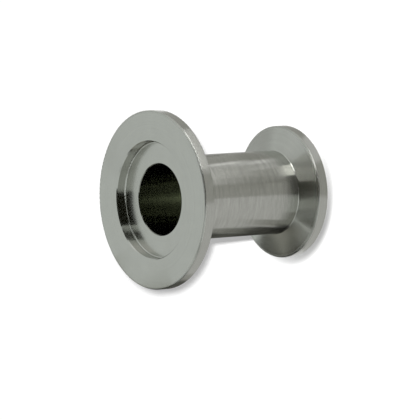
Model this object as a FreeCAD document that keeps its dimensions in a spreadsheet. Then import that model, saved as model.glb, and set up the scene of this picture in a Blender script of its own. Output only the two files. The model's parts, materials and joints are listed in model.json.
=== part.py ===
import FreeCAD
import Part
import Sketcher
import math
import os

# Straight vacuum reducer with two quick-release flanges, turned from one bar of stainless steel.
#
# The piece stands on the sealing face of its small flange. Its axis is Z, and the origin is the centre of
# that face. Going up the axis come the small flange, the tube and the large flange. Each flange has a flat
# sealing face, a straight rim, a cone on its back for the clamp, and a round recess in its face that takes
# a centring ring. One bore runs through from recess to recess. Lengths are in millimetres, angles in degrees.

# The driving dimensions: name, value, and what the value measures.
SIZES = [
    ("overall_length", 38.5, "between the two sealing faces"),
    ("large_flange_diameter", 40.0, "outside of the large rim"),
    ("large_rim_width", 2.6, "straight part of the large rim, up to the sharp corner of the cone"),
    ("large_recess_diameter", 26.2, "centring recess in the large sealing face"),
    ("large_recess_depth", 2.4, "from the large sealing face to the recess floor"),
    ("small_flange_diameter", 30.0, "outside of the small rim"),
    ("small_rim_width", 2.6, "straight part of the small rim, up to the sharp corner of the cone"),
    ("small_recess_step", 0.6, "how much wider than the bore the small centring recess is, on each side"),
    ("small_recess_depth", 2.4, "from the small sealing face to the recess floor"),
    ("clamp_cone_angle", 15.0, "slope of both flange backs, from square to the axis"),
    ("bore_diameter", 16.0, "inside of the tube, the gas passage"),
    ("tube_wall", 1.5, "between the bore and the outside of the tube"),
    ("neck_radius", 0.2, "fillet between the tube and each cone"),
    ("rim_edge_radius", 0.3, "rounded edges of both rims"),
    ("recess_corner_radius", 0.3, "tool nose radius at the foot of each recess wall"),
    ("recess_edge_chamfer", 0.2, "broken edge at the mouth of each recess"),
    ("bore_edge_chamfer", 0.15, "broken edge at both ends of the bore"),
]
FIRST_ROW = 2

# Sizes that follow from the driving ones, as formulas on the sheet.
TUBE_RADIUS = "sizes.bore_diameter / 2 + sizes.tube_wall"
SMALL_RECESS_DIAMETER = "sizes.bore_diameter + 2 * sizes.small_recess_step"
SMALL_FLOOR_HEIGHT = "sizes.small_recess_depth"
LARGE_FLOOR_HEIGHT = "sizes.overall_length - sizes.large_recess_depth"

START, END, CENTRE = 1, 2, 3  # the points of a sketch line or circle
ORIGIN = (-1, 1)  # the sketch's own origin point
MATCH = 1e-4  # two lengths this close are the same


def fill_sheet(doc):
    """The sheet that holds the driving dimensions, one to a row, each with its alias."""
    sheet = doc.addObject("Spreadsheet::Sheet", "sizes")
    for row, (name, value, meaning) in enumerate(SIZES, FIRST_ROW):
        sheet.set(f"A{row}", name)
        sheet.set(f"B{row}", str(value))
        sheet.setAlias(f"B{row}", name)
        sheet.set(f"C{row}", meaning)
    doc.recompute()
    return sheet


def sketch_on(body, role, name):
    """An empty sketch of the body, attached to one of its own origin planes."""
    plane = next(feature for feature in body.Origin.OriginFeatures if feature.Role == role)
    sketch = body.newObject("Sketcher::SketchObject", name)
    sketch.AttachmentSupport = (plane, [""])
    sketch.MapMode = "FlatFace"
    return sketch


def bind(sketch, name, constraint, formula):
    """Adds a constraint to the sketch under a name, and ties its value to the sheet."""
    index = sketch.addConstraint(constraint)
    sketch.renameConstraint(index, name)
    sketch.setExpression(f"Constraints.{name}", formula)


def round_corner(sketch, line, name, formula):
    """Rounds the corner at a line's end. The sharp corner stays as a point, which the dimensions hold on to."""
    radius = sketch.evalExpression(formula)
    arc = sketch.GeometryCount
    sketch.fillet(line, END, radius, True, True)
    bind(sketch, name, Sketcher.Constraint("Radius", arc, radius), formula)


def turn_outside(body, sizes):
    """The outside of the piece, revolved from one half of its lengthwise section."""
    top = sizes.overall_length
    large = sizes.large_flange_diameter / 2
    large_back = top - sizes.large_rim_width
    small = sizes.small_flange_diameter / 2
    small_back = sizes.small_rim_width
    tube = body.evalExpression(TUBE_RADIUS)
    slope = math.radians(sizes.clamp_cone_angle)
    corners = [
        (0, 0),
        (small, 0),
        (small, small_back),
        (tube, small_back + (small - tube) * math.tan(slope)),
        (tube, large_back - (large - tube) * math.tan(slope)),
        (large, large_back),
        (large, top),
        (0, top),
    ]
    points = [FreeCAD.Vector(radius, height, 0) for radius, height in corners]
    sketch = sketch_on(body, "XZ_Plane", "outside_section")
    for here, there in zip(points, points[1:] + points[:1]):
        sketch.addGeometry(Part.LineSegment(here, there), False)
    for line in range(len(points)):
        sketch.addConstraint(Sketcher.Constraint("Coincident", line, END, (line + 1) % len(points), START))
    small_face, small_rim, small_cone, tube_wall, large_cone, large_rim, large_face, axis = range(len(points))
    for line in (small_face, large_face):
        sketch.addConstraint(Sketcher.Constraint("Horizontal", line))
    for line in (small_rim, tube_wall, large_rim, axis):
        sketch.addConstraint(Sketcher.Constraint("Vertical", line))
    sketch.addConstraint(Sketcher.Constraint("Coincident", small_face, START, *ORIGIN))

    bind(sketch, "length", Sketcher.Constraint("DistanceY", axis, END, axis, START, top),
         "sizes.overall_length")
    bind(sketch, "small_radius", Sketcher.Constraint("DistanceX", small_face, START, small_face, END, small),
         "sizes.small_flange_diameter / 2")
    bind(sketch, "small_width", Sketcher.Constraint("DistanceY", small_rim, START, small_rim, END, small_back),
         "sizes.small_rim_width")
    bind(sketch, "small_slope", Sketcher.Constraint("Angle", small_cone, math.pi - slope),
         "180 deg - sizes.clamp_cone_angle * 1 deg")
    bind(sketch, "tube_radius", Sketcher.Constraint("DistanceX", small_face, START, tube_wall, START, tube),
         TUBE_RADIUS)
    bind(sketch, "large_slope", Sketcher.Constraint("Angle", large_cone, slope),
         "sizes.clamp_cone_angle * 1 deg")
    bind(sketch, "large_width", Sketcher.Constraint("DistanceY", large_rim, START, large_rim, END,
                                                    top - large_back), "sizes.large_rim_width")
    bind(sketch, "large_radius", Sketcher.Constraint("DistanceX", large_face, END, large_face, START, large),
         "sizes.large_flange_diameter / 2")

    round_corner(sketch, small_face, "small_front_edge", "sizes.rim_edge_radius")
    round_corner(sketch, small_rim, "small_back_edge", "sizes.rim_edge_radius")
    round_corner(sketch, small_cone, "small_neck", "sizes.neck_radius")
    round_corner(sketch, tube_wall, "large_neck", "sizes.neck_radius")
    round_corner(sketch, large_cone, "large_back_edge", "sizes.rim_edge_radius")
    round_corner(sketch, large_rim, "large_front_edge", "sizes.rim_edge_radius")

    outside = body.newObject("PartDesign::Revolution", "turned_outside")
    outside.Profile = sketch
    outside.ReferenceAxis = (sketch, ["V_Axis"])
    outside.Angle = 360
    body.Document.recompute()


def cut_round(body, name, diameter, depth=None, from_height=None):
    """A round hole on the axis. It goes up from the small face, or down from a height that is given.

    Diameter, depth and height are formulas on the sheet. Without a depth the hole goes right through.
    """
    volume_before = body.Shape.Volume
    sketch = sketch_on(body, "XY_Plane", f"{name}_circle")
    radius = sketch.evalExpression(diameter) / 2
    circle = sketch.addGeometry(Part.Circle(FreeCAD.Vector(), FreeCAD.Vector(0, 0, 1), radius), False)
    sketch.addConstraint(Sketcher.Constraint("Coincident", circle, CENTRE, *ORIGIN))
    bind(sketch, "diameter", Sketcher.Constraint("Diameter", circle, 2 * radius), diameter)
    if from_height:
        sketch.setExpression("AttachmentOffset.Base.z", from_height)
    hole = body.newObject("PartDesign::Pocket", name)
    hole.Profile = sketch
    hole.Reversed = from_height is None
    if depth:
        hole.setExpression("Length", depth)
    else:
        hole.Type = "ThroughAll"
    body.Document.recompute()
    if body.Shape.Volume >= volume_before - MATCH:
        raise RuntimeError(f"{name} removes nothing")


def ring_edges(shape, radius, height):
    """Names of the shape's circles round the axis that have this radius and lie at this height."""
    names = []
    for number, edge in enumerate(shape.Edges, 1):
        curve = edge.Curve
        if not isinstance(curve, Part.Circle):
            continue
        if abs(curve.Radius - radius) < MATCH and abs(curve.Center.z - height) < MATCH:
            names.append(f"Edge{number}")
    return names


def finish_edges(body, kind, name, size, formula, rings):
    """A Fillet or a Chamfer on round edges, each given by the formulas of its diameter and its height."""
    before = body.Tip
    edges = []
    for diameter, height in rings:
        radius = body.evalExpression(diameter) / 2
        found = ring_edges(before.Shape, radius, body.evalExpression(height))
        if not found:
            raise RuntimeError(f"{name}: there is no edge of diameter {diameter} at height {height}")
        edges += found
    feature = body.newObject(f"PartDesign::{kind}", name)
    feature.Base = (before, edges)
    feature.setExpression(size, formula)
    body.Document.recompute()


def make_reducer(doc, sizes):
    """The whole piece, in the order in which it would be turned, bored and deburred."""
    body = doc.addObject("PartDesign::Body", "reducer_body")
    body.Label = "reducer_body"
    turn_outside(body, sizes)
    cut_round(body, "bore", "sizes.bore_diameter")
    cut_round(body, "small_recess", SMALL_RECESS_DIAMETER, "sizes.small_recess_depth")
    cut_round(body, "large_recess", "sizes.large_recess_diameter", "sizes.large_recess_depth",
              "sizes.overall_length")
    finish_edges(body, "Fillet", "recess_corners", "Radius", "sizes.recess_corner_radius", [
        (SMALL_RECESS_DIAMETER, SMALL_FLOOR_HEIGHT),
        ("sizes.large_recess_diameter", LARGE_FLOOR_HEIGHT),
    ])
    finish_edges(body, "Chamfer", "recess_edges", "Size", "sizes.recess_edge_chamfer", [
        (SMALL_RECESS_DIAMETER, "0"),
        ("sizes.large_recess_diameter", "sizes.overall_length"),
    ])
    finish_edges(body, "Chamfer", "bore_edges", "Size", "sizes.bore_edge_chamfer", [
        ("sizes.bore_diameter", SMALL_FLOOR_HEIGHT),
        ("sizes.bore_diameter", LARGE_FLOOR_HEIGHT),
    ])
    return body


def check(doc, bodies):
    """Stops if anything in the document failed, or if a body isn't one valid solid."""
    failed = [thing.Name for thing in doc.Objects if {"Invalid", "Error"} & set(thing.State)]
    if failed:
        raise RuntimeError(f"failed to build: {failed}")
    for body in bodies:
        shape = body.Shape
        if shape.isNull() or not shape.isValid() or len(shape.Solids) != 1:
            raise RuntimeError(f"{body.Label} is not one valid solid")


def main():
    doc = FreeCAD.newDocument("vacuum_reducer")
    sizes = fill_sheet(doc)
    bodies = [make_reducer(doc, sizes)]
    doc.recompute()
    check(doc, bodies)
    os.makedirs("parts", exist_ok=True)
    for body in bodies:
        body.Shape.exportStep(f"parts/{body.Label}.step")
        box = body.Shape.optimalBoundingBox()
        print(f"{body.Label}: {box.XLength:.2f} x {box.YLength:.2f} x {box.ZLength:.2f} mm,"
              f" {body.Shape.Volume / 1000:.3f} cm3, {len(body.Shape.Faces)} faces")


main()
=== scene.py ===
import json
import math

import bpy
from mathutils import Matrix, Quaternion, Vector

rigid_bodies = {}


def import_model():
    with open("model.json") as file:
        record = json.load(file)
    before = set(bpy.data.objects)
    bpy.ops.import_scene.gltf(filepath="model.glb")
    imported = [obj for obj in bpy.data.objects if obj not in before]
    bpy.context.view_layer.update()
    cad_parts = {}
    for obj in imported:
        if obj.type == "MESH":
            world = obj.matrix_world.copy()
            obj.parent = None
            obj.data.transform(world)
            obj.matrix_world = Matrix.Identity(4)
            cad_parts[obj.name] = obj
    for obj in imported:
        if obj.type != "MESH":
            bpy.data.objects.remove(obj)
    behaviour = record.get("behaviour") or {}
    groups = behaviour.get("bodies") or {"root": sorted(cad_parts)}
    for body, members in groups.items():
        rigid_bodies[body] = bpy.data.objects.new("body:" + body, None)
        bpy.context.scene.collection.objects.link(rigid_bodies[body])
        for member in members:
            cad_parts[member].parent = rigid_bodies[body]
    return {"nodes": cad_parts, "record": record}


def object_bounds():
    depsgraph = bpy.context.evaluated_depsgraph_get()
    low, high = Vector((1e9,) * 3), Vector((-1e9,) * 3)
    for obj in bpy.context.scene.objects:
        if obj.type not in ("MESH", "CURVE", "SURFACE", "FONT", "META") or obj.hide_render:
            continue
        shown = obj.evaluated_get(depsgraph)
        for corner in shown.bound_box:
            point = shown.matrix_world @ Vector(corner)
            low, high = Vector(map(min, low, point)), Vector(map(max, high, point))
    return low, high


# The looks of a vacuum reducer: one piece turned from stainless steel, standing on its small flange.
# Lengths are in metres and angles in degrees. Directions round the piece are given as azimuths: 0 points
# at the camera, and a positive azimuth turns towards the bottom of the picture. A brightness of 1 is white.

# The photograph's camera. It looks down on the piece and is rolled, so that the axis lies across the picture.
CAMERA_AIM = Vector((-0.0031, 0, 0.02235))
CAMERA_DISTANCE = 0.8493
CAMERA_ELEVATION = 37.02
CAMERA_ROLL = -93.95
CAMERA_LENS = 323.6  # mm
CAMERA_SENSOR = 36  # mm

# Sizes of the piece that its record has no mount for. A rim ends at its sharp corner with the cone.
TUBE_RADIUS = 0.0095
TUBE_HEIGHTS = (0.0041, 0.0332)
RIM_WIDTH = 0.0026
BROKEN_EDGE = 0.0003

# The steel. The tube, the bore, the small flange's cone and the two broken edges that catch the light are its
# zones, each with a roughness of its own and a border that fades, and FACE is all the rest.
STEEL_COLOR = (0.50, 0.505, 0.47)
# Painted shade in the bore: a darker steel colour stands in for the shade inside the hollow.
BORE_PAINTED_SHADE = (0.26, 0.26, 0.23)
FACE_ROUGHNESS = 0.15
TUBE_ROUGHNESS = 0.18
BORE_ROUGHNESS = 0.13
CONE_ROUGHNESS = 0.22
EDGE_ROUGHNESS = 0.30
BORDER = 0.0001
TUBE_BORDER = 0.0003  # across the fillets at the ends of the tube

# Marks of the tool: fine grooves, which tip the surface, and streaks and blotches, which tint it.
GROOVES = 25000  # to the metre
GROOVE_WANDER = 1.2  # how much a groove changes along its ring
STREAK_SCALE = 0.16  # where the scale of the grooves is 1
BLOTCHES = (400, 400, 1500)  # to the metre
FACE_GROOVE = 0.08
TUBE_GROOVE = 0.22
BORE_GROOVE = 0.12
FACE_STREAK = 0.2
TUBE_STREAK = 0.45
FACE_BLOTCH = 0.08
TUBE_BLOTCH = 0.28

FLOOR_SIZE = 8.0
FLOOR_COLOR = (0.8, 0.8, 0.8)
FLOOR_GLOW = (0.22, 0.80)  # what it adds for camera and mirror rays, so that it reads white, near and far off
FLOOR_REACH = (0.10, 0.60)  # the distances from the piece that count as near and as far off
WORLD_LIGHT = 0.3  # how much light the surroundings give, while the camera sees them as white
ROOM_COLOR = (0.706, 0.739, 0.725)  # the surroundings as the steel reflects them

# A painted contact shadow: the floor's colour and glow are darkened beside the piece, on the side away from the
# light.
# Where the light's side is more closed than the other one by CONTACT_CLOSED, only CONTACT_LIGHT of the light is
# left.
CONTACT_REACH = 0.0022
CONTACT_AZIMUTH = -132
CONTACT_ELEVATION = 40
CONTACT_SAMPLES = 16
CONTACT_CLOSED = 0.6
CONTACT_LIGHT = 0.35

LAMP_POWER = 20.0
LAMP_SIZE = 0.040
LAMP_DISTANCE = 1.2
LAMP_UP = 1.45  # angles between the lamp and the camera, seen from the piece, in the picture
LAMP_LEFT = 0.68

# The shadow flag, a strip beside the tube: its distances from the axis, and its heights.
FLAG_REACH = (0.0090, 0.0102)
FLAG_HEIGHTS = (0.008, 0.033)

# Flat boards that face the piece and show in its steel: azimuth and elevation of the middle, half the width
# and half the height for a distance of 1, and colour.
BOARD_DISTANCE = 0.45
BOARD_CENTRE = Vector((0, 0, 0.02))
BOARDS = {
    "camera_flag": (-13.5, 37, 0.505, 0.80, (0.012, 0.012, 0.006)),
    "softbox_frame": (-72, 50, 0.16, 0.42, (0.02, 0.02, 0.012)),
    "bright_board": (-110, 39, 0.245, 0.16, (1.0, 1.0, 1.0)),
    "pale_board": (-152, 47, 0.16, 0.26, (0.64, 0.66, 0.65)),
    "top_flag": (134, 67, 0.20, 0.15, (0.18, 0.18, 0.16)),
    "side_flag": (84, 55, 0.11, 0.10, (0.08, 0.08, 0.07)),
    "grey_board": (-163, 20, 0.20, 0.20, (0.50, 0.51, 0.50)),
}

# Upright curved screens round the piece: distance from the axis, azimuths, heights and colour. The first two
# are strips of light, and the others stand in for dark things in the room.
SCREENS = {
    "foot_light": (0.12, (-68, -39), (0.010, 0.038), (5.0, 5.0, 5.0)),
    "edge_light": (0.035, (-67, -24), (0.032, 0.0385), (6.0, 6.0, 6.0)),
    "dark_wall": (0.45, (118, 163), (0, 0.24), (0.13, 0.13, 0.115)),
    "dark_screen": (0.035, (129, 144), (0.0195, 0.064), (0.35, 0.35, 0.31)),
    "black_screen": (0.035, (110, 129), (0.030, 0.056), (0.02, 0.02, 0.018)),
    "middle_screen": (0.035, (144, 158), (0.0195, 0.050), (0.34, 0.34, 0.30)),
    "low_screen": (0.035, (131, 155), (0.008, 0.0195), (0.08, 0.08, 0.07)),
    "dark_hood": (0.025, (98, 122), (0.012, 0.027), (0.005, 0.005, 0.003)),
    "black_wall": (0.40, (98, 150), (0, 0.26), (0.005, 0.005, 0.003)),
    "grey_wall": (0.41, (56, 100), (0, 0.19), (0.32, 0.32, 0.29)),
}

# Painted light in the bore: a glowing oval below it, which no lamp lights and only the steel's reflections show,
# on a dark disc of painted shade that takes the floor out of the bore.
BORE_GLOW = (1.35, 1.58, 1.10)
BORE_GLOW_HALF = (0.0036, 0.0078)  # half the oval's size across the line of sight and along it
BLACK = (0, 0, 0)

# The table round the piece, as its steel reflects it: a glowing ring that only the steel shows, a painted
# reflection of a plain grey table with soft light and dark patches. Each patch holds its azimuths, its distances
# from the axis and its brightness, and lies over the ones before it.
TABLE_RING = (0.0148, 0.45)  # inner and outer radius
TABLE_HEIGHT = 0.0001  # how far the table and the oval of light lie above the floor
TABLE_PLAIN = 0.62
TABLE_BLUE = (0.86, 0.2)  # the share of blue in its darkest grey, and how fast it rises with the brightness
TABLE_SOFT = (5, 0.0015)  # how far a patch's edges fade, in degrees and in metres
TABLE_PATCHES = {
    "light_back": ((-180, -138), (0.050, 0.5), 1.15),
    "shade_back": ((-127, -87), (0.027, 0.5), 0.46),
    "dark_back": ((-133, -125), (0.029, 0.044), 0.30),
    "shade_camera": ((-23, 5), (0, 0.5), 0.45),
    "shade_far": ((-70, -40), (0.027, 0.042), 0.49),
    "shade_right": ((-40, -12), (0.027, 0.038), 0.39),
    "light_edge": ((-53, -31), (0, 0.0185), 0.70),
    "shade_edge": ((-83, -60), (0, 0.0162), 0.42),
    "shade_near": ((-125, -80), (0.0163, 0.020), 0.44),
    "dark_ring_top": ((-127, -86), (0.0205, 0.027), 0.34),
    "dark_ring_right": ((-52, -22), (0.0205, 0.027), 0.30),
    "glint_far": ((-86, -82), (0.032, 0.042), 1.3),
    "glint_near": ((-79, -75), (0.021, 0.027), 0.95),
    "dark_bottom": ((68, 82), (0.0175, 0.027), 0.30),
    "shade_bottom": ((94, 112), (0.027, 0.046), 0.24),
    "shade_side": ((103, 116), (0.046, 0.5), 0.42),
    "dark_near": ((90, 168), (0, 0.027), 0.05),
    "dark_far": ((117, 170), (0.027, 0.5), 0.11),
    "light_foot": ((74, 98), (0, 0.0156), 0.78),
}


def sight(azimuth, elevation):
    """The unit vector from the piece towards an azimuth and an elevation."""
    turn = math.radians(azimuth)
    rise = math.radians(elevation)
    return Vector((-math.sin(turn) * math.cos(rise), -math.cos(turn) * math.cos(rise), math.sin(rise)))


def node(tree, kind, **values):
    """A shader node. Keywords set its properties, or its sockets where it has no such property."""
    made = tree.nodes.new(kind)
    for key, value in values.items():
        if hasattr(made, key):
            setattr(made, key, value)
        else:
            made.inputs[key.replace("_", " ")].default_value = value
    return made


def math_node(tree, operation, first, second=None, clamp=False):
    """The output of a Math node on two inputs, each a socket or a number."""
    made = node(tree, "ShaderNodeMath", operation=operation, use_clamp=clamp)
    for place, value in enumerate((first, second)):
        if value is None:
            continue
        if isinstance(value, (int, float)):
            made.inputs[place].default_value = value
        else:
            tree.links.new(value, made.inputs[place])
    return made.outputs[0]


def vector_node(tree, operation, first, second=None, scale=None):
    """A Vector Math node on a vector, and on another vector or a scale where it takes one."""
    made = node(tree, "ShaderNodeVectorMath", operation=operation)
    tree.links.new(first, made.inputs[0])
    if isinstance(second, tuple):
        made.inputs[1].default_value = second
    elif second is not None:
        tree.links.new(second, made.inputs[1])
    if scale is not None:
        tree.links.new(scale, made.inputs["Scale"])
    return made


def mix_colors(tree, factor, first, second):
    """The output of a Mix node on two colours, each a socket or three numbers."""
    made = node(tree, "ShaderNodeMix", data_type="RGBA")
    sockets = {socket.name: socket for socket in made.inputs if socket.enabled}
    tree.links.new(factor, sockets["Factor"])
    for name, color in (("A", first), ("B", second)):
        if isinstance(color, tuple):
            sockets[name].default_value = (*color, 1)
        else:
            tree.links.new(color, sockets[name])
    return next(socket for socket in made.outputs if socket.enabled)


def times(tree, first, second):
    """The product of two inputs, each a socket or a number."""
    return math_node(tree, "MULTIPLY", first, second)


def between(tree, value, low, high, soft):
    """1 where the value lies between two limits, with soft edges outside them."""
    rise = node(tree, "ShaderNodeMapRange", From_Min=low - soft, From_Max=low)
    fall = node(tree, "ShaderNodeMapRange", From_Min=high + soft, From_Max=high)
    tree.links.new(value, rise.inputs["Value"])
    tree.links.new(value, fall.inputs["Value"])
    return times(tree, rise.outputs[0], fall.outputs[0])


def weigh(tree, plain, *zones):
    """A plain value, exchanged for another in each zone. A zone is a mask and its value."""
    total = plain
    for mask, value in zones:
        total = math_node(tree, "ADD", times(tree, mask, value - plain), total)
    return total


def seen_directly(tree):
    """1 for rays that show something: from the camera, off a mirror or through glass. 0 for light."""
    path = node(tree, "ShaderNodeLightPath")
    either = math_node(tree, "MAXIMUM", path.outputs["Is Camera Ray"], path.outputs["Is Glossy Ray"])
    return math_node(tree, "MAXIMUM", either, path.outputs["Is Transmission Ray"])


def coordinates(tree):
    """The object's own coordinates: as a vector, and as x, y and z."""
    place = node(tree, "ShaderNodeTexCoord").outputs["Object"]
    parts = node(tree, "ShaderNodeSeparateXYZ")
    tree.links.new(place, parts.inputs[0])
    return place, *parts.outputs


def new_material(name):
    """An empty node material and its output node."""
    material = bpy.data.materials.new(name)
    material.use_nodes = True
    tree = material.node_tree
    tree.nodes.clear()
    return material, tree, tree.nodes.new("ShaderNodeOutputMaterial")


def steel_zones(tree, radius, height, record, top):
    """A mask for each zone of the steel, 1 on it and 0 off it."""
    radii = {mount["name"]: mount["dims"]["r_mm"] / 1000 for mount in record["mounts"] if mount["dims"]}
    bore = radii["through_bore"]
    large_rim = radii["large_clamp_rim"]
    small_rim = radii["small_clamp_rim"]
    tube_foot = TUBE_HEIGHTS[0]
    tube_skin = TUBE_RADIUS + BORDER / 2
    edge = BROKEN_EDGE + BORDER
    corner = 2 * BORDER

    # Each zone holds its distances from the axis, how wide its border is across them, and its heights.
    zones = {
        "tube": (((bore + tube_skin) / 2, tube_skin), TUBE_BORDER, TUBE_HEIGHTS),
        "cone": ((tube_skin + TUBE_BORDER, small_rim - BORDER), BORDER, (RIM_WIDTH, tube_foot)),
        "bore": ((0, bore + BORDER), BORDER, (0, top)),
        "large_edge": ((large_rim - edge, large_rim + BORDER), BORDER, (top - BROKEN_EDGE, top + BORDER)),
        "small_edge": ((small_rim - edge, small_rim + BORDER), BORDER, (RIM_WIDTH - corner, RIM_WIDTH + corner)),
    }
    masks = {}
    for name, (distances, border, heights) in zones.items():
        around = between(tree, radius, *distances, border)
        masks[name] = times(tree, around, between(tree, height, *heights, BORDER))
    return masks


def centred_noise(tree, place, **settings):
    """Noise that swings round 0."""
    noise = node(tree, "ShaderNodeTexNoise", **settings)
    tree.links.new(place, noise.inputs["Vector"])
    return math_node(tree, "SUBTRACT", noise.outputs["Fac"], 0.5)


def ring_place(tree, x, y, z, radius):
    """Coordinates in which noise makes rings round the axis, as a lathe does."""
    spot = node(tree, "ShaderNodeCombineXYZ")
    for part, socket in zip((x, y), spot.inputs):
        turn = math_node(tree, "DIVIDE", part, radius)
        tree.links.new(times(tree, turn, GROOVE_WANDER), socket)
    along = math_node(tree, "ADD", radius, z)
    tree.links.new(times(tree, along, GROOVES), spot.inputs["Z"])
    return spot.outputs[0]


def tipped_normal(tree, tangent, slope):
    """The surface's normal, tipped up or down the profile by a slope."""
    normal = node(tree, "ShaderNodeNewGeometry").outputs["Normal"]
    profile = vector_node(tree, "CROSS_PRODUCT", tangent, normal)
    tip = vector_node(tree, "SCALE", profile.outputs[0], scale=slope)
    tipped = vector_node(tree, "ADD", normal, tip.outputs[0])
    return vector_node(tree, "NORMALIZE", tipped.outputs[0]).outputs[0]


def turned_steel(record, top):
    """Stainless steel as it comes off a lathe: satin on the tube, nearly a mirror on the flanges."""
    material, tree, output = new_material("turned_steel")
    shader = node(tree, "ShaderNodeBsdfPrincipled", Metallic=1.0, Anisotropic=1.0, Anisotropic_Rotation=0.25,
                  Base_Color=(*STEEL_COLOR, 1))
    tangent = node(tree, "ShaderNodeTangent", direction_type="RADIAL", axis="Z").outputs[0]
    tree.links.new(tangent, shader.inputs["Tangent"])
    place, x, y, z = coordinates(tree)
    radius = math_node(tree, "SQRT", math_node(tree, "ADD", times(tree, x, x), times(tree, y, y)))

    zones = steel_zones(tree, radius, z, record, top)
    roughness = weigh(tree, FACE_ROUGHNESS, (zones["tube"], TUBE_ROUGHNESS), (zones["cone"], CONE_ROUGHNESS),
                      (zones["bore"], BORE_ROUGHNESS), (zones["large_edge"], EDGE_ROUGHNESS),
                      (zones["small_edge"], EDGE_ROUGHNESS))
    tree.links.new(roughness, shader.inputs["Roughness"])

    rings = ring_place(tree, x, y, z, radius)
    streaks = centred_noise(tree, rings, Scale=STREAK_SCALE, Detail=4.0, Roughness=0.7)
    streaks = times(tree, streaks, weigh(tree, FACE_STREAK, (zones["tube"], TUBE_STREAK)))
    spots = vector_node(tree, "MULTIPLY", place, BLOTCHES)
    blotches = centred_noise(tree, spots.outputs[0], Scale=1.0, Detail=2.0)
    blotches = times(tree, blotches, weigh(tree, FACE_BLOTCH, (zones["tube"], TUBE_BLOTCH)))
    tint = math_node(tree, "ADD", math_node(tree, "ADD", streaks, blotches), 1.0)
    # Painted shade: the bore takes a darker colour than the rest of the steel.
    plain = mix_colors(tree, zones["bore"], STEEL_COLOR, BORE_PAINTED_SHADE)
    color = vector_node(tree, "SCALE", plain, scale=tint)
    tree.links.new(color.outputs[0], shader.inputs["Base Color"])

    grooves = centred_noise(tree, rings, Scale=1.0, Detail=3.0, Roughness=0.6)
    depth = weigh(tree, FACE_GROOVE, (zones["tube"], TUBE_GROOVE), (zones["bore"], BORE_GROOVE))
    tree.links.new(tipped_normal(tree, tangent, times(tree, grooves, depth)), shader.inputs["Normal"])
    tree.links.new(shader.outputs[0], output.inputs["Surface"])
    return material


def painted_contact_shadow(tree):
    """Painted contact shadow: the share of the floor's colour and glow that is left, 1 away from the piece and
    less close to it on the side away from the light.
    """
    open_shares = []
    for azimuth in (CONTACT_AZIMUTH, CONTACT_AZIMUTH + 180):
        contact = node(tree, "ShaderNodeAmbientOcclusion", Distance=CONTACT_REACH, samples=CONTACT_SAMPLES)
        lean = node(tree, "ShaderNodeCombineXYZ")
        for share, socket in zip(sight(azimuth, CONTACT_ELEVATION), lean.inputs):
            socket.default_value = share
        tree.links.new(lean.outputs[0], contact.inputs["Normal"])
        open_shares.append(contact.outputs["AO"])
    to_light, from_light = open_shares
    closed = math_node(tree, "SUBTRACT", from_light, to_light, clamp=True)
    light = node(tree, "ShaderNodeMapRange", From_Max=CONTACT_CLOSED, To_Min=1.0, To_Max=CONTACT_LIGHT)
    tree.links.new(closed, light.inputs["Value"])
    return light.outputs[0]


def floor_material():
    """White floor that keeps the lamp's shadow of the piece, with a painted contact shadow beside it."""
    material, tree, output = new_material("white_floor")
    # Painted shadow: the contact shade darkens the floor's colour and glow beside the piece.
    light = painted_contact_shadow(tree)
    matt = node(tree, "ShaderNodeBsdfDiffuse")
    tree.links.new(mix_colors(tree, light, BLACK, FLOOR_COLOR), matt.inputs["Color"])
    place = node(tree, "ShaderNodeTexCoord").outputs["Object"]
    away = vector_node(tree, "LENGTH", place).outputs["Value"]
    level = node(tree, "ShaderNodeMapRange", From_Min=FLOOR_REACH[0], From_Max=FLOOR_REACH[1],
                 To_Min=FLOOR_GLOW[0], To_Max=FLOOR_GLOW[1])
    tree.links.new(away, level.inputs["Value"])
    glow = node(tree, "ShaderNodeEmission")
    strength = times(tree, times(tree, seen_directly(tree), level.outputs[0]), light)
    tree.links.new(strength, glow.inputs["Strength"])
    both = node(tree, "ShaderNodeAddShader")
    tree.links.new(matt.outputs[0], both.inputs[0])
    tree.links.new(glow.outputs[0], both.inputs[1])
    tree.links.new(both.outputs[0], output.inputs["Surface"])
    return material


def table_grey(brightness):
    """A grey that turns a little yellow where it is dark."""
    blue, rise = TABLE_BLUE
    return (brightness, brightness, brightness * min(blue + rise * brightness, 1))


def table_material():
    """The plain table with its patches, for reflections only."""
    material, tree, output = new_material("grey_table")
    place, x, y, _ = coordinates(tree)
    away = vector_node(tree, "LENGTH", place).outputs["Value"]
    to_bottom = times(tree, x, -1.0)
    to_camera = times(tree, y, -1.0)
    azimuth = math_node(tree, "DEGREES", math_node(tree, "ARCTAN2", to_bottom, to_camera))
    soft_angle, soft_distance = TABLE_SOFT
    color = table_grey(TABLE_PLAIN)
    for azimuths, distances, brightness in TABLE_PATCHES.values():
        mask = times(tree, between(tree, azimuth, *azimuths, soft_angle),
                     between(tree, away, *distances, soft_distance))
        color = mix_colors(tree, mask, color, table_grey(brightness))
    glow = node(tree, "ShaderNodeEmission")
    tree.links.new(color, glow.inputs["Color"])
    tree.links.new(glow.outputs[0], output.inputs["Surface"])
    return material


def panel_material(name, color):
    """A panel of one brightness, for reflections only."""
    material, tree, output = new_material(name)
    strength = max(max(color), 1)
    tint = [part / strength for part in color]
    glow = node(tree, "ShaderNodeEmission", Strength=strength, Color=(*tint, 1))
    tree.links.new(glow.outputs[0], output.inputs["Surface"])
    return material


def stage_mesh(name, points, faces, material):
    """A mesh that belongs to the studio and not to the piece."""
    mesh = bpy.data.meshes.new(name)
    mesh.from_pydata(points, [], faces)
    mesh.materials.append(material)
    thing = bpy.data.objects.new(name, mesh)
    bpy.context.scene.collection.objects.link(thing)
    return thing


def for_reflections_only(thing):
    """Only the steel's reflections show it: the camera doesn't, and it takes and gives no light."""
    thing.visible_camera = False
    thing.visible_diffuse = False
    thing.visible_shadow = False
    thing.visible_transmission = False


def for_shadow_only(thing):
    """Only its shadow shows."""
    thing.visible_camera = False
    thing.visible_diffuse = False
    thing.visible_glossy = False
    thing.visible_transmission = False


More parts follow.
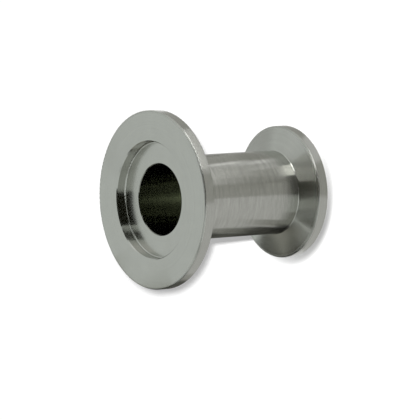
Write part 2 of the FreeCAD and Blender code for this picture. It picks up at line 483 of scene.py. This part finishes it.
def add_floor():
    """The floor that the piece stands on."""
    half = FLOOR_SIZE / 2
    corners = [(-half, -half, 0), (half, -half, 0), (half, half, 0), (-half, half, 0)]
    stage_mesh("floor", corners, [(0, 1, 2, 3)], floor_material())


def add_table_ring():
    """A flat ring on the floor round the piece, which the steel reflects in place of the plain floor."""
    steps = 90
    points = []
    faces = []
    for step in range(steps):
        side = sight(360 * step / steps, 0)
        for radius in TABLE_RING:
            points.append(side * radius + Vector((0, 0, TABLE_HEIGHT)))
        here = 2 * step
        there = 2 * ((step + 1) % steps)
        faces.append((here, here + 1, there + 1, there))
    for_reflections_only(stage_mesh("table_ring", points, faces, table_material()))


def add_board(name, azimuth, elevation, half_width, half_height, color):
    """A flat board that faces the piece."""
    out = sight(azimuth, elevation)
    across = Vector((0, 0, 1)).cross(out).normalized() * half_width
    along = out.cross(across).normalized() * half_height
    corners = [out - across - along, out + across - along, out + across + along, out - across + along]
    points = [corner * BOARD_DISTANCE + BOARD_CENTRE for corner in corners]
    for_reflections_only(stage_mesh(name, points, [(0, 1, 2, 3)], panel_material(name, color)))


def add_screen(name, distance, azimuths, heights, color):
    """An upright curved screen that stands round the piece between two azimuths."""
    steps = 16
    points = []
    for height in heights:
        for step in range(steps + 1):
            azimuth = azimuths[0] + (azimuths[1] - azimuths[0]) * step / steps
            points.append(sight(azimuth, 0) * distance + Vector((0, 0, height)))
    faces = [(step, step + 1, step + steps + 2, step + steps + 1) for step in range(steps)]
    for_reflections_only(stage_mesh(name, points, faces, panel_material(name, color)))


def add_oval(name, half_across, half_along, height, color):
    """A flat oval below the bore, given by half its size across the line of sight and along it."""
    steps = 24
    sides = [sight(360 * step / steps, 0) for step in range(steps)]
    points = [(side.x * half_across, side.y * half_along, height) for side in sides]
    for_reflections_only(stage_mesh(name, points, [tuple(range(steps))], panel_material(name, color)))


def add_shadow_flag():
    """A strip beside the tube that only the lamp's shadow shows. It widens the shadow below the tube."""
    points = [(-distance, 0, height) for height in FLAG_HEIGHTS for distance in FLAG_REACH]
    for_shadow_only(stage_mesh("shadow_flag", points, [(0, 1, 3, 2)], panel_material("shadow_flag", BLACK)))


def add_lamp():
    """A small soft lamp beside the camera. Its shadow shows just past the piece's lower right edges."""
    back = sight(0, CAMERA_ELEVATION)
    picture_up = Vector((1, 0, 0))
    picture_left = back.cross(picture_up)
    offset = picture_up * math.tan(math.radians(LAMP_UP)) + picture_left * math.tan(math.radians(LAMP_LEFT))
    direction = (back + offset).normalized()
    data = bpy.data.lights.new("lamp_by_the_camera", "AREA")
    data.shape = "DISK"
    data.size = LAMP_SIZE
    data.energy = LAMP_POWER
    lamp = bpy.data.objects.new("lamp_by_the_camera", data)
    lamp.location = CAMERA_AIM + direction * LAMP_DISTANCE
    lamp.rotation_mode = "QUATERNION"
    lamp.rotation_quaternion = direction.to_track_quat("Z", "Y")
    lamp.visible_glossy = False
    bpy.context.scene.collection.objects.link(lamp)


def light_world():
    """Plain surroundings: dim as light, white to the camera, and pale grey as the steel reflects them."""
    world = bpy.data.worlds.new("white_studio")
    world.use_nodes = True
    tree = world.node_tree
    background = tree.nodes["Background"]
    path = node(tree, "ShaderNodeLightPath")
    tint = mix_colors(tree, path.outputs["Is Glossy Ray"], (1, 1, 1), ROOM_COLOR)
    tree.links.new(tint, background.inputs["Color"])
    strength = math_node(tree, "MAXIMUM", seen_directly(tree), WORLD_LIGHT)
    tree.links.new(strength, background.inputs["Strength"])
    bpy.context.scene.world = world


def add_camera():
    """The camera of the photograph."""
    back = sight(0, CAMERA_ELEVATION)
    data = bpy.data.cameras.new("camera")
    data.sensor_width = CAMERA_SENSOR
    data.lens = CAMERA_LENS
    camera = bpy.data.objects.new("camera", data)
    camera.rotation_mode = "QUATERNION"
    roll = Quaternion((0, 0, 1), math.radians(CAMERA_ROLL))
    camera.rotation_quaternion = back.to_track_quat("Z", "Y") @ roll
    camera.location = CAMERA_AIM + back * CAMERA_DISTANCE
    bpy.context.scene.collection.objects.link(camera)
    bpy.context.scene.camera = camera


def clear_default_scene():
    """Blender's own cube, lamp and camera go."""
    for thing in list(bpy.data.objects):
        bpy.data.objects.remove(thing)


clear_default_scene()
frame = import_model()
cad_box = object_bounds()
cad_top = cad_box[1][2]

body = frame["nodes"]["reducer_body"]
body.data.materials.clear()
body.data.materials.append(turned_steel(frame["record"], cad_top))

add_floor()
add_table_ring()
for name, board in BOARDS.items():
    add_board(name, *board)
for name, screen in SCREENS.items():
    add_screen(name, *screen)
# Painted light and painted shade below the bore, seen only in its reflections.
add_oval("bore_glow", *BORE_GLOW_HALF, TABLE_HEIGHT, BORE_GLOW)
add_oval("bore_shade", TABLE_RING[0], TABLE_RING[0], TABLE_HEIGHT / 2, BLACK)
add_shadow_flag()
add_lamp()
light_world()
add_camera()
bpy.context.scene.view_settings.view_transform = "Standard"
